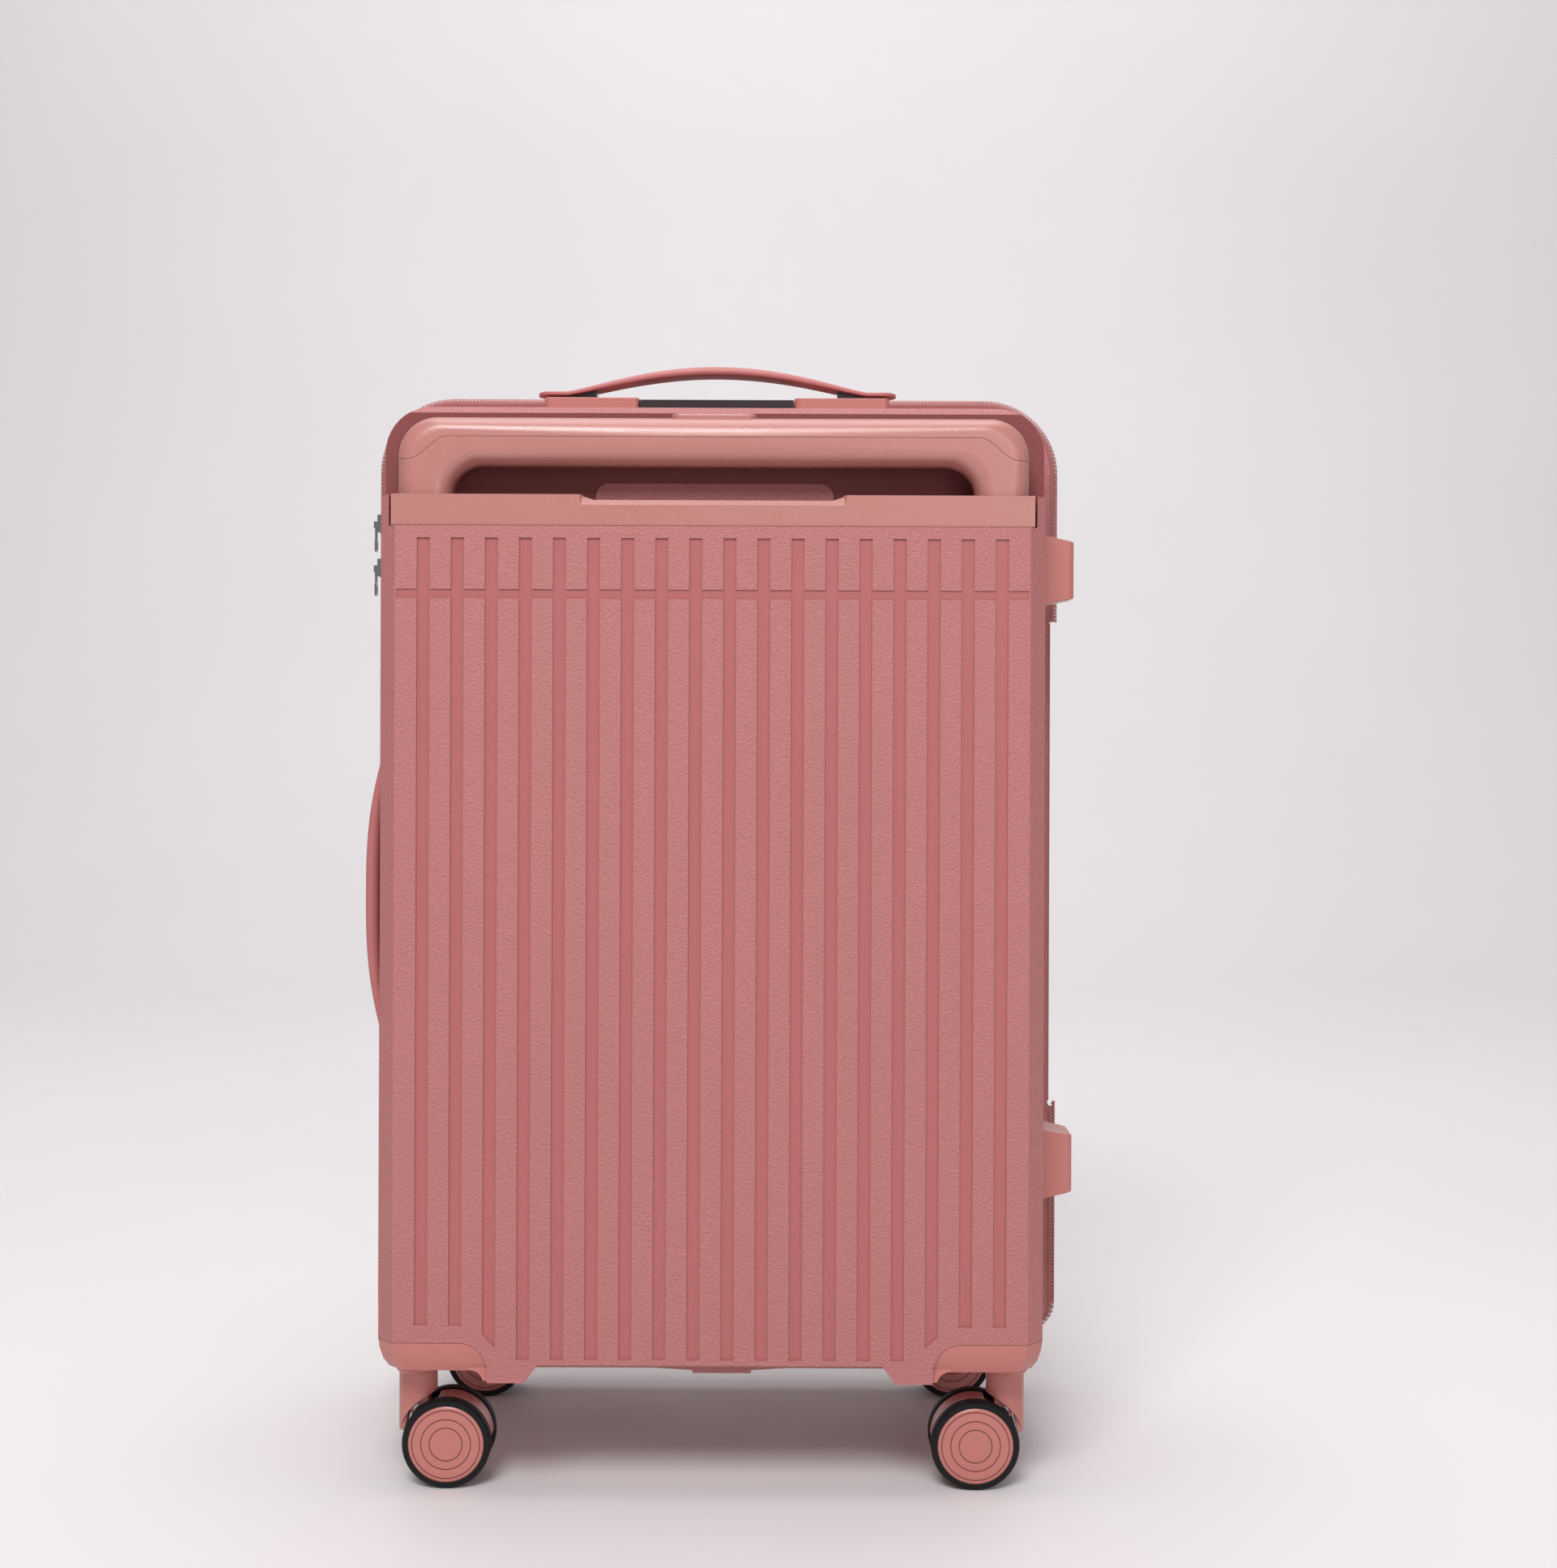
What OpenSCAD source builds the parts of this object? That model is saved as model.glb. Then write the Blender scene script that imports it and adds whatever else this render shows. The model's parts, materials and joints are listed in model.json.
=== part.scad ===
/* [Case] */
// Half of the case's width at its rim
rim_half_w = 240; // [239:0.5:241]
// Height of the rim's top above the floor
rim_top = 747; // [745:1:750]
// Height of the rim's underside above the floor
rim_bottom = 81; // [80:0.5:82]
// Depth of each half, from the parting plane to its ribbed face
half_depth = 145; // [144:0.5:147]
// Radius of the rim's top corners
top_corner_r = 47; // [45:1:50]
// Radius of the rim's bottom corners
bottom_corner_r = 16; // [14:1:20]
// Thickness of the shell walls
wall = 3; // [2.6:0.1:3.2]

/* [Ribbed face] */
// Number of upright grooves in each face
groove_count = 18; // [14:2:18]
// Spacing of the grooves
groove_pitch = 22.6; // [22:0.1:22.8]
// Width of a groove
groove_w = 8.6; // [6:0.2:10]
// Depth of a groove
groove_depth = 1.5; // [0.8:0.1:1.6]
// Height of the cross groove's lower edge above the floor
cross_groove_z = 600.2; // [560:1:620]

/* [Trolley recess] */
// Height of the ledge that the trolley housing stands on
ledge_z = 648.6; // [645:0.2:650]
// Depth of the recess behind the ribbed face
recess_depth = 40; // [40:0.5:41]
// Height of the shell's ears at the ledge's two ends
ear_top = 669.5; // [665:0.5:671]
// Half of the trolley housing's width
bezel_half_w = 214; // [213:0.5:214]

/* [Trolley] */
// Distance of each tube from the middle of the case
tube_x = 193.5; // [193:0.5:194]
// Height of the grip's top at rest
grip_top = 722.4; // [722:0.2:724]
// Half of the grip's width
grip_half_w = 211.5; // [211:0.5:212]
// Half of the opening's width inside the grip
grip_gap_half_w = 175; // [174:0.5:176]
// Height of the opening's top inside the grip
grip_gap_top = 690; // [689:0.5:691]

/* [Casters] */
// Distance of each swivel axis from the middle of the case, sideways
caster_x = 200.5; // [199:0.5:201]
// Distance of each swivel axis from the parting plane
caster_y = 100; // [98:1:101]
// Radius of a wheel
wheel_r = 30; // [29:0.5:30]
// Distance of the axle from the swivel axis
trail = 21.5; // [21:0.5:22]
// Radius of a wheel's hub cap
hub_r = 25.6; // [25:0.1:26]

/* [Hidden] */
CASTERS = [["back_left", -1, -1], ["back_right", 1, -1], ["front_left", -1, 1], ["front_right", 1, 1]];
CASTER_PARTS = ["fork", "arm", "tyre_a", "hub_a", "tyre_b", "hub_b"];

SHELL_PINK = [0.74, 0.46, 0.45];
SMOOTH_PINK = [0.78, 0.46, 0.44];
GRIP_PINK = [0.77, 0.52, 0.49];
DARK = [0.12, 0.09, 0.09];
STEEL = [0.78, 0.78, 0.8];
FABRIC = [0.35, 0.27, 0.28];
SLIVER = 0.01;
FAR = 900;
ARC_STEPS = 10;
// Gap between pieces of one body that stand face to face
seat_gap = 0.35;
seat_clear = 0.05;
// Each level of a half: depth, then insets from the rim at the sides, top and bottom
bevel_run = 11;
levels = [[half_depth, 29, 30.5, 10.5], [half_depth - bevel_run, 17.9, 16.8, 6], [0, 6.5, 4, 4]];
flange_depth = 11;
flange_step = 1.5;
recess_d = half_depth - recess_depth;
recess_slope_run = 9;
recess_slope_rise = 11;
recess_slope_drop = 18;
ear_gap = 1.9;
ear_set_back = 1.5;
// Wheel housing's outline on the face
housing_in = 148;
housing_top = 106;
housing_arc_r = 19;
housing_depth = 97;
housing_low = 86;
bump_low = 79.5;
lining_gap = 0.4;
lining_t = 1;
back_floor_d = 101;
// Trolley tubes: outer width, outer depth, wall, foot height and top height of each stage
tube_d = 125;
outer_tube = [30, 17, 1.2, 116, 651.4];
mid_tube = [26.8, 13.8, 1.2, 120, 651.4];
inner_tube = [23.6, 10.6, 1.2, 124, 698];
tube_corner_r = 3;
ledge_floor_top = ledge_z + 3.3;
bezel_wall = 2.2;
grip_front_d = 140.5;
grip_back_d = 109.5;
grip_foot = 653;
grip_outer_r = 26;
grip_inner_r = 20;
// Parting line of the grip: its height along the bar and at the outer ends
part_high = grip_top - 14;
part_low = grip_top - 29;
part_turn_in = 178;
part_turn_out = 203;
button_w = 57.4;
button_d = 13.4;
button_proud = 2.8;
button_low = 715;
rod_r = 2.6;
rod_low = 140;
rod_bar_low = 702;
crossbar_top = 707.3;
// Carry handles
strap_half_len = 126;
strap_arch_half = 105;
strap_w = 24;
strap_end_t = 2.6;
strap_end_r = 10;
top_strap_t = 6.2;
side_strap_t = 9.5;
top_strap_z = 750.5;
top_strap_rise = 18;
side_strap_x = -231.8;
side_strap_rise = 13.6;
top_handle_d = 50;
side_handle_d = 55;
side_handle_z = 397;
side_post_z = 113;
side_post_half = 5;
side_post_half_d = 7;
post_x = 93.5;
post_w = 18;
post_t = 14;
pad_len = 64;
pad_w = 28;
// Zip
zip_d = 9;
coil_d = 2.6;
zip_gap = 0.2;
tape_out = 3;
coil_out = 7;
hinge_low = 243;
hinge_high = 593;
slider_x = -(rim_half_w + coil_out + 0.5);
slider_plate = 1.2;
slider_h = 13;
pull_x = slider_x - 2.7;
pull_up = 5.5;
pull_pin_r = 0.6;
pull_r = 1.35;
pull_len = 19.5;
upper_slider_z = 656;
lower_slider_z = 624;
// Lock, on the front half's left side
lock_y = 30;
lock_low = 584;
lock_high = 656;
lock_face_x = -234.5;
lock_half = 13;
dial_r = 6;
dial_bore_r = 1.5;
dial_x = -229.7;
dial_zs = [600, 608, 616];
dial_h = 4.4;
// Casters
pivot_u = 1.5;
pivot_z = 50.5;
flange_z = 75.8;
flange_r = 15.6;
stem_top = 102.5;
stem_r = 5.5;
column_r = 13;
tyre_clear = 3.4;
axle_r = 3;
pin_r = 2.5;
tongue_r = 5.2;
run_gap = 0.05;
web_half = 8.4;
cheek_in = 4.5;
cheek_out = 7.5;
pin_head_r = 3.6;
pin_head_t = 0.8;
wheel_in = 9.2;
wheel_out = 19;
ring_rs = [22.9, 16.8, 11.1];
ring_depth = 0.6;
ring_half_w = 0.35;

function arc(cx, cy, r, a0, a1, n = ARC_STEPS) =
    [for (i = [0:n]) let (a = a0 + (a1 - a0) * i / n) [cx + r * cos(a), cy + r * sin(a)]];
function outline(hw, z0, z1, r_low, r_high, n = ARC_STEPS) = concat(
    arc(hw - r_low, z0 + r_low, r_low, -90, 0, n),
    arc(hw - r_high, z1 - r_high, r_high, 0, 90, n),
    arc(-hw + r_high, z1 - r_high, r_high, 90, 180, n),
    arc(-hw + r_low, z0 + r_low, r_low, 180, 270, n));
function side_x(d) = rim_half_w - levels[2][1]
    - (levels[1][1] - levels[2][1]) * d / (half_depth - bevel_run);
function inset_outline(out, n = 3 * ARC_STEPS) = outline(rim_half_w + out, rim_bottom - out,
    rim_top + out, bottom_corner_r + out, top_corner_r + out, n);

module box(lo, hi) { translate(lo) cube(hi - lo); }
module along_y(y0, y1) { translate([0, y1, 0]) rotate([90, 0, 0]) linear_extrude(y1 - y0) children(); }
module both_sides() { for (side = [0, 1]) mirror([side, 0, 0]) children(); }
module rounded_rect(w, h, r) {
    translate([0, -h / 2]) polygon(outline(w / 2, 0, h, r, r, 6));
}

// One flat slice of a half at depth d, inset by e from the outer surface
module slice(level, e, d) {
    r_low = max(bottom_corner_r - level[3] - e, 2);
    r_high = max(top_corner_r - level[1] - e, 4);
    translate([0, -d, 0]) rotate([90, 0, 0]) linear_extrude(SLIVER)
        polygon(outline(rim_half_w - level[1] - e, rim_bottom + level[3] + e,
                        rim_top - level[2] - e, r_low, r_high));
}
module loft(e, reach = 0) {
    hull() {
        slice(levels[0], e, half_depth - max(e, 0));
        slice(levels[1], e, half_depth - bevel_run);
        slice(levels[2], e, -reach);
    }
}
// Thickened rim that the zip is fixed to
module flange() {
    along_y(-flange_depth, 0) polygon(inset_outline(0));
    along_y(-flange_depth - flange_step, -flange_depth + 0.1) polygon(inset_outline(-flange_step));
}
// Space that the grip and its housing take at the top of the back half
module recess(e) {
    reach = e > 0 ? FAR : bezel_half_w + ear_gap;
    wall_y = -(recess_d - e);
    box([-reach, -FAR, ledge_z - e], [reach, wall_y, FAR]);
    box([-FAR, -FAR, ear_top - e], [FAR, wall_y, FAR]);
    box([-FAR, -FAR, ledge_z - e], [FAR, -(half_depth - ear_set_back - e), FAR]);
    // slope from the recess's wall up to the top of the shell
    slope = [recess_slope_run, recess_slope_rise] / norm([recess_slope_run, recess_slope_rise]);
    foot = [e * slope[1] - recess_d, rim_top - recess_slope_drop - e * slope[0]];
    rotate([90, 0, 90]) linear_extrude(2 * FAR, center = true) polygon([foot - 30 * slope,
        foot + 60 * slope, [-FAR, foot[1] + 60 * slope[1]], [-FAR, foot[1] - 30 * slope[1]]]);
}
// Space of one corner wheel housing, on the right side
module housing_space(e) {
    r = housing_arc_r + e;
    x0 = housing_in - e;
    z1 = housing_top + e;
    along_y(-FAR, -(half_depth - housing_depth - e))
        polygon(concat([[x0, 0], [FAR, 0], [FAR, z1]], arc(x0 + r, z1 - r, r, 90, 180)));
}
module half_solid(e, reach, recessed) {
    difference() {
        loft(e, reach);
        if (recessed) recess(e);
        both_sides() housing_space(e);
    }
}
// Bumps of the shell's underside beside the wheel housings
module side_bumps() {
    both_sides() along_y(-half_depth, -(half_depth - housing_depth)) polygon([[housing_in, 97],
        [housing_in, bump_low], [housing_in - 24.5, bump_low], [housing_in - 33, 90.5],
        [housing_in - 33, 97]]);
}
module hollow_half(recessed) {
    difference() {
        union() {
            half_solid(0, -1, recessed);
            flange();
            side_bumps();
        }
        half_solid(wall, 1, recessed);
    }
}
// Upright grooves; the outer ones end above the wheel housings
module grooves(top) {
    cut_y = -(half_depth - groove_depth);
    last = groove_count - 1;
    for (i = [0:last]) {
        rank = min(i, last - i);
        side = i < groove_count / 2 ? -1 : 1;
        x = (i - last / 2) * groove_pitch;
        outer_low = rank < 2 ? 117.5 : rank == 2 ? 111.3 : 95;
        inner_low = rank == 2 ? 103.2 : outer_low;
        along_y(-FAR, cut_y) polygon([
            [x + side * groove_w / 2, outer_low], [x + side * groove_w / 2, top],
            [x - side * groove_w / 2, top], [x - side * groove_w / 2, inner_low]]);
    }
    box([-210, -FAR, cross_groove_z], [210, cut_y - 0.5, cross_groove_z + 6.1]);
}
module tube_pair(t, grow = 0) {
    both_sides() translate([tube_x, -tube_d, t[3]]) linear_extrude(t[4] - t[3])
        rounded_rect(t[0] + grow, t[1] + grow, tube_corner_r);
}
module hollow_tube_pair(t) {
    difference() {
        tube_pair(t);
        tube_pair([t[0] - 2 * t[2], t[1] - 2 * t[2], 0, t[3] - 1, t[4] + 1]);
    }
}

// ---- back half ----
module back_shell() {
    color(SHELL_PINK) {
        difference() {
            hollow_half(true);
            grooves(640.5);
            tube_pair([outer_tube[0], outer_tube[1], 0, 600, 700], 0.2);
            both_sides() translate([post_x, -top_handle_d, 738.4])
                linear_extrude(9) rounded_rect(post_w + 0.8, post_t + 0.8, 1);
            for (s = [-1, 1])
                translate([-side_x(side_handle_d) - 2, -side_handle_d, side_handle_z + s * post_x])
                    rotate([0, 90, 0]) linear_extrude(3.6) rounded_rect(pad_len + 2, pad_w + 2, 3);
        }
        // rounded pad on the recess wall
        along_y(-(recess_d + 2.4), -(recess_d - 0.1)) polygon(outline(81, ledge_z - 0.1, 680.8, 0.5, 9));
        // lifting block under the middle of the case
        along_y(-(half_depth - 14), -(half_depth - 40))
            polygon([[-52, 88.5], [-52, 86.9], [-12, 84.6], [-12, 82.6], [27, 82.6], [27, 84.6],
                [62, 86.9], [62, 88.5]]);
    }
}
module lining_shape(recessed, floor_d) {
    difference() {
        intersection() {
            half_solid(wall + lining_gap, 0, recessed);
            box([-FAR, -floor_d, 0], [FAR, -2, FAR]);
        }
        intersection() {
            half_solid(wall + lining_gap + lining_t, 1, recessed);
            box([-FAR, -(floor_d - lining_t), 0], [FAR, 2, FAR]);
        }
    }
}
module back_lining() { color(FABRIC) lining_shape(true, back_floor_d); }
module packing_straps() {
    color(DARK) {
        for (lean = [-1, 1]) translate([0, -(back_floor_d - lining_t - 1), 420]) rotate([0, lean * 38, 0])
            box([-12.5, -0.5, -235], [12.5, 0.5, 235]);
        box([-22, -(back_floor_d - 2.2), 398], [22, -(back_floor_d - 9), 442]);
    }
}
// Finger notch in the housing's front wall: its floor and ends slope towards the front
module notch_outline(top_half_w, low_half_w, low) {
    polygon([[-top_half_w, ear_top + 1], [-low_half_w, low], [low_half_w, low], [top_half_w, ear_top + 1]]);
}
module bezel_notch() {
    hull() {
        along_y(-half_depth, -(half_depth - 1.2)) notch_outline(89.5, 88, ear_top - 6.7);
        along_y(-(half_depth - 4), -(half_depth - 5)) notch_outline(86.5, 76.5, ear_top - 2.2);
    }
}
module trolley_bezel() {
    color(GRIP_PINK) difference() {
        box([-bezel_half_w, -(half_depth - 1.2), ledge_z + 0.3],
            [bezel_half_w, -(recess_d + 0.6), ear_top]);
        box([-bezel_half_w + bezel_wall, -(half_depth - 4), ledge_floor_top],
            [bezel_half_w - bezel_wall, -(recess_d + 2.6), FAR]);
        tube_pair([outer_tube[0], outer_tube[1], 0, 600, 700], 0.2);
        bezel_notch();
        box([-82, -(recess_d + 4), 600], [82, 0, FAR]);
    }
}
module trolley_outer_tubes() { color(STEEL) hollow_tube_pair(outer_tube); }
module tube_brackets() {
    color(DARK) difference() {
        both_sides() box([tube_x - 21, -(half_depth - 3.6), outer_tube[3] - 3.2],
            [tube_x + 13, -(back_floor_d + 1), outer_tube[3] + 22]);
        tube_pair([outer_tube[0], outer_tube[1], 0, outer_tube[3], 700], 0.1);
        both_sides() loft_corner_trim();
    }
}
// Keeps the brackets inside the shell's bevelled side
module loft_corner_trim() {
    x1 = side_x(half_depth - bevel_run) - wall - 1;
    linear_extrude(FAR) polygon([[x1, -(half_depth - bevel_run)], [x1 - bevel_run, -half_depth],
        [FAR, -half_depth], [FAR, 0], [x1, 0]]);
}
function footprint(k, x0, d0) = [[x0, -(half_depth - k)],
    [rim_half_w - levels[0][1] - k, -(half_depth - k)],
    [side_x(half_depth - bevel_run) - k, -(half_depth - bevel_run - k)],
    [side_x(d0) - k, -d0], [x0, -d0]];
module housing() {
    back_d = half_depth - housing_depth + seat_gap;
    color(SMOOTH_PINK) difference() {
        union() {
            intersection() {
                hull() for (step = [[107, 0], [100, 0.8], [92, 3], [housing_low, 6.5]])
                    translate([0, 0, step[0]]) linear_extrude(SLIVER)
                        polygon(footprint(step[1], housing_in, back_d));
                housing_space(-seat_gap);
            }
            along_y(-(half_depth - 5), -back_d - 8) polygon(concat([[housing_in + seat_gap, bump_low]],
                arc(housing_in + 12, housing_low - 8.5, 9, 167, 95), [[housing_in + 14, housing_low + 2],
                [housing_in + seat_gap, housing_low + 4]]));
        }
        difference() {
            translate([0, 0, housing_low + 4]) linear_extrude(FAR)
                polygon(footprint(10, housing_in + 4, back_d + 3.6));
            translate([caster_x, -caster_y, 0]) cylinder(r = column_r, h = stem_top + 1.5, $fn = 64);
        }
        translate([caster_x, -caster_y, 0]) cylinder(r = stem_r + run_gap, h = FAR, $fn = 64);
    }
}
module housings_back() { both_sides() housing(); }
module side_foot(z) {
    half_h = 23;
    half_w = 22;
    tip_x = rim_half_w + coil_out;
    base_x = 224;
    translate([0, -75, z]) intersection() {
        along_y(-half_w, half_w) polygon([[base_x, -half_h - 1], [tip_x, -half_h + 3.5],
            [tip_x, half_h - 3.5], [base_x, half_h + 1]]);
        linear_extrude(2 * FAR, center = true) polygon([[base_x, -half_w], [tip_x - 3, -half_w + 4],
            [tip_x, -half_w + 7], [tip_x, half_w - 7], [tip_x - 3, half_w - 4], [base_x, half_w]]);
    }
}
module side_feet() {
    color(SMOOTH_PINK) difference() {
        for (z = [216, 624]) side_foot(z);
        loft(-seat_clear, -1);
    }
}
module side_feet_back() { side_feet(); }
// Base pads of the carry handle on top, cut to the shell's slope
module top_handle_pads() {
    color(SHELL_PINK) difference() {
        both_sides() translate([87.5, -top_handle_d, 737]) linear_extrude(8.5) rounded_rect(66, 34, 4);
        loft(-seat_clear, -1);
        both_sides() translate([post_x, -top_handle_d, 737])
            linear_extrude(20) rounded_rect(post_w + 0.8, post_t + 0.8, 1);
    }
}
module top_handle_well() {
    color(DARK) difference() {
        box([-54, -(top_handle_d + 16), 737], [54, -(top_handle_d - 16), 744.3]);
        loft(-seat_clear, -1);
    }
}
module side_posts(x0, x1, grow) {
    half = side_post_half + grow;
    half_d = side_post_half_d + grow;
    for (s = [-1, 1]) translate([0, -side_handle_d, side_handle_z + s * side_post_z])
        box([x0, -half_d, -half], [x1, half_d, half]);
}
module side_handle_pads() {
    x0 = -side_x(side_handle_d) + 1.7;
    color(DARK) difference() {
        for (s = [-1, 1]) translate([x0 - 1.6, -side_handle_d, side_handle_z + s * post_x])
            rotate([0, 90, 0]) linear_extrude(1.2) rounded_rect(pad_len, pad_w, 3);
        side_posts(x0 - 9, x0 + 9, 0.4);
    }
}
module zip_half() {
    color(SHELL_PINK) difference() {
        union() {
            along_y(-zip_d, -zip_gap) polygon(inset_outline(tape_out));
            along_y(-coil_d, -zip_gap) polygon(inset_outline(coil_out));
        }
        along_y(-FAR, FAR) polygon(inset_outline(0.05));
        box([200, -FAR, hinge_low], [FAR, FAR, hinge_high]);
    }
}
module zip_back() { zip_half(); }
module hinge_tape() {
    color(SHELL_PINK)
        box([rim_half_w + 0.1, -zip_d, hinge_low + 2], [rim_half_w + 1.3, zip_d, hinge_high - 2]);
}

// ---- front half ----
module front_shell() {
    color(SHELL_PINK) mirror([0, 1, 0]) difference() {
        hollow_half(false);
        grooves(rim_top - 45);
        box([-FAR, -(lock_y + lock_half), lock_low], [-200, -(lock_y - lock_half), lock_high]);
    }
}
module front_lining() {
    color(FABRIC) mirror([0, 1, 0]) difference() {
        lining_shape(false, half_depth - wall - lining_gap);
        box([-FAR, -(lock_y + lock_half + 0.4), lock_low - 0.4],
            [-200, -(lock_y - lock_half - 0.4), lock_high + 0.4]);
    }
}
module zip_front() { mirror([0, 1, 0]) zip_half(); }
module housings_front() { mirror([0, 1, 0]) housings_back(); }
module side_feet_front() { mirror([0, 1, 0]) side_feet(); }
module lock_body() {
    slot_lo = dial_zs[0] - 3;
    slot_hi = dial_zs[2] + 3;
    color(DARK) {
        difference() {
            box([lock_face_x, lock_y - lock_half + 0.3, lock_low + 0.3],
                [-220.5, lock_y + lock_half - 0.3, lock_high - 0.3]);
            box([-FAR, lock_y - dial_r - 0.5, slot_lo],
                [dial_x + dial_r + 0.5, lock_y + dial_r + 0.5, slot_hi]);
            box([-FAR, lock_y - 6, 628], [-231, lock_y + 6, 648]);
        }
        translate([dial_x, lock_y, slot_lo]) cylinder(r = dial_bore_r, h = slot_hi - slot_lo, $fn = 32);
    }
}
module lock_button() {
    color(STEEL) box([-236.2, lock_y - 5.6, 628.4], [-231.3, lock_y + 5.6, 642]);
}
module lock_dial(z) {
    color(STEEL) translate([dial_x, lock_y, z - dial_h / 2]) difference() {
        cylinder(r = dial_r, h = dial_h, $fn = 64);
        translate([0, 0, -1]) cylinder(r = dial_bore_r + run_gap, h = dial_h + 2, $fn = 32);
    }
}

// ---- trolley ----
module trolley_mid_tubes() { color(STEEL) hollow_tube_pair(mid_tube); }
module trolley_inner_tubes() { color(STEEL) hollow_tube_pair(inner_tube); }
function part_z(x) =
    let (t = (abs(x) - part_turn_in) / (part_turn_out - part_turn_in), s = min(max(t, 0), 1))
    part_high - (part_high - part_low) * s * s * (3 - 2 * s);
part_line = [for (i = [-24:24])
    let (x = sign(i) * (abs(i) < 4 ? abs(i) * 40 : 160 + (abs(i) - 4) * 3)) [x, part_z(x)]];
module grip_outline() {
    polygon(concat(
        [[-grip_half_w, grip_foot]],
        arc(-grip_half_w + grip_outer_r, grip_top - grip_outer_r, grip_outer_r, 180, 90),
        arc(grip_half_w - grip_outer_r, grip_top - grip_outer_r, grip_outer_r, 90, 0),
        [[grip_half_w, grip_foot], [grip_gap_half_w, grip_foot]],
        arc(grip_gap_half_w - grip_inner_r, grip_gap_top - grip_inner_r, grip_inner_r, 0, 90),
        arc(-grip_gap_half_w + grip_inner_r, grip_gap_top - grip_inner_r, grip_inner_r, 90, 180),
        [[-grip_gap_half_w, grip_foot]]));
}
module above_part_line(shift) {
    translate([0, shift])
        polygon(concat([[-FAR, part_low]], part_line, [[FAR, part_low], [FAR, FAR], [-FAR, FAR]]));
}
module grip_hollows() {
    tube_pair([inner_tube[0], inner_tube[1], 0, 600, inner_tube[4] + 0.3], 0.1);
    box([-tube_x - 3.5, -(tube_d + 4), inner_tube[4] - 0.5],
        [tube_x + 3.5, -(tube_d - 4), part_high + 1]);
}
module grip_body() {
    color(GRIP_PINK) difference() {
        along_y(-grip_front_d, -grip_back_d) difference() {
            grip_outline();
            above_part_line(-0.1);
        }
        grip_hollows();
    }
}
module grip_cap() {
    color(GRIP_PINK) difference() {
        along_y(-grip_front_d, -grip_back_d) intersection() {
            grip_outline();
            above_part_line(0.1);
        }
        grip_hollows();
        translate([0, -tube_d, 600]) linear_extrude(FAR)
            rounded_rect(button_w + 1, button_d + 1, (button_d + 1) / 2 - 0.1);
    }
}
module release_button() {
    color(GRIP_PINK) {
        translate([0, -tube_d, button_low]) linear_extrude(grip_top + button_proud - button_low)
            rounded_rect(button_w, button_d, button_d / 2 - 0.1);
        box([-8, -(tube_d + 3), crossbar_top], [8, -(tube_d - 3), button_low + 1]);
    }
}
module release_rods() {
    color(STEEL) {
        box([-tube_x - 1, -(tube_d + 3), rod_bar_low], [tube_x + 1, -(tube_d - 3), crossbar_top]);
        both_sides() translate([tube_x, -tube_d, rod_low])
            cylinder(r = rod_r, h = rod_bar_low + 0.5 - rod_low, $fn = 32);
    }
}

// ---- carry handles ----
// Height of a strap's outer face above its flat ends; t is its thickness in the middle
function rise(x, h, n, m) = h * pow(max(0, 1 - pow(abs(x) / strap_arch_half, n)), m);
module strap(h, t, n, m) {
    xs = [for (i = [-21:21]) i * 6];
    top = [for (x = xs) [x, rise(x, h, n, m)]];
    low = [for (i = [len(xs) - 1:-1:0]) let (r = top[i][1])
        [xs[i], r - strap_end_t - (t - strap_end_t) * r / h]];
    intersection() {
        along_y(-strap_w / 2, strap_w / 2) polygon(concat(top, low));
        translate([0, 0, -h]) linear_extrude(3 * h) rounded_rect(2 * strap_half_len, strap_w, strap_end_r);
    }
}
module top_strap() {
    translate([0, -top_handle_d, top_strap_z]) strap(top_strap_rise, top_strap_t, 2, 1.25);
}
module top_handle() { color(SHELL_PINK) top_strap(); }
module top_handle_posts() {
    color(DARK) difference() {
        both_sides() translate([post_x, -top_handle_d, 739])
            linear_extrude(14.6) rounded_rect(post_w, post_t, 1);
        for (step = [0:3]) translate([0, 0, step * 2.2]) top_strap();
    }
}
module side_handle() {
    x0 = -side_x(side_handle_d) + 1.7;
    color(SHELL_PINK) {
        translate([side_strap_x, -side_handle_d, side_handle_z])
            rotate([0, -90, 0]) strap(side_strap_rise, side_strap_t, 2.8, 1.3);
        side_posts(side_strap_x - 0.8, x0 - 0.3, 0);
    }
}

// ---- zip sliders ----
module zip_slider(z) {
    color(STEEL) {
        difference() {
            box([slider_x - slider_plate, -4.6, z], [slider_x + 3.8, 4.6, z + slider_h]);
            box([slider_x, -coil_d - 0.5, z - 1], [FAR, coil_d + 0.5, z + slider_h + 1]);
        }
        for (s = [0, 1]) mirror([0, s, 0])
            box([pull_x - 1.2, 2, z + pull_up - 2.5], [slider_x - slider_plate, 4, z + pull_up + 2.5]);
        translate([pull_x, -3.5, z + pull_up]) rotate([-90, 0, 0])
            cylinder(r = pull_pin_r, h = 7, $fn = 32);
    }
}
module zip_pull(z) {
    color(STEEL) translate([pull_x, 0, z + pull_up]) difference() {
        union() {
            along_y(-1.7, 1.7) circle(r = pull_r, $fn = 48);
            box([-0.8, -1.7, -pull_len], [0.8, 1.7, 0]);
            box([-0.8, -3, -pull_len], [0.8, 3, -pull_len + 9]);
        }
        along_y(-9, 9) circle(r = pull_pin_r + run_gap, $fn = 32);
        box([-2, -1.4, -pull_len + 2], [2, 1.4, -pull_len + 7]);
    }
}

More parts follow.
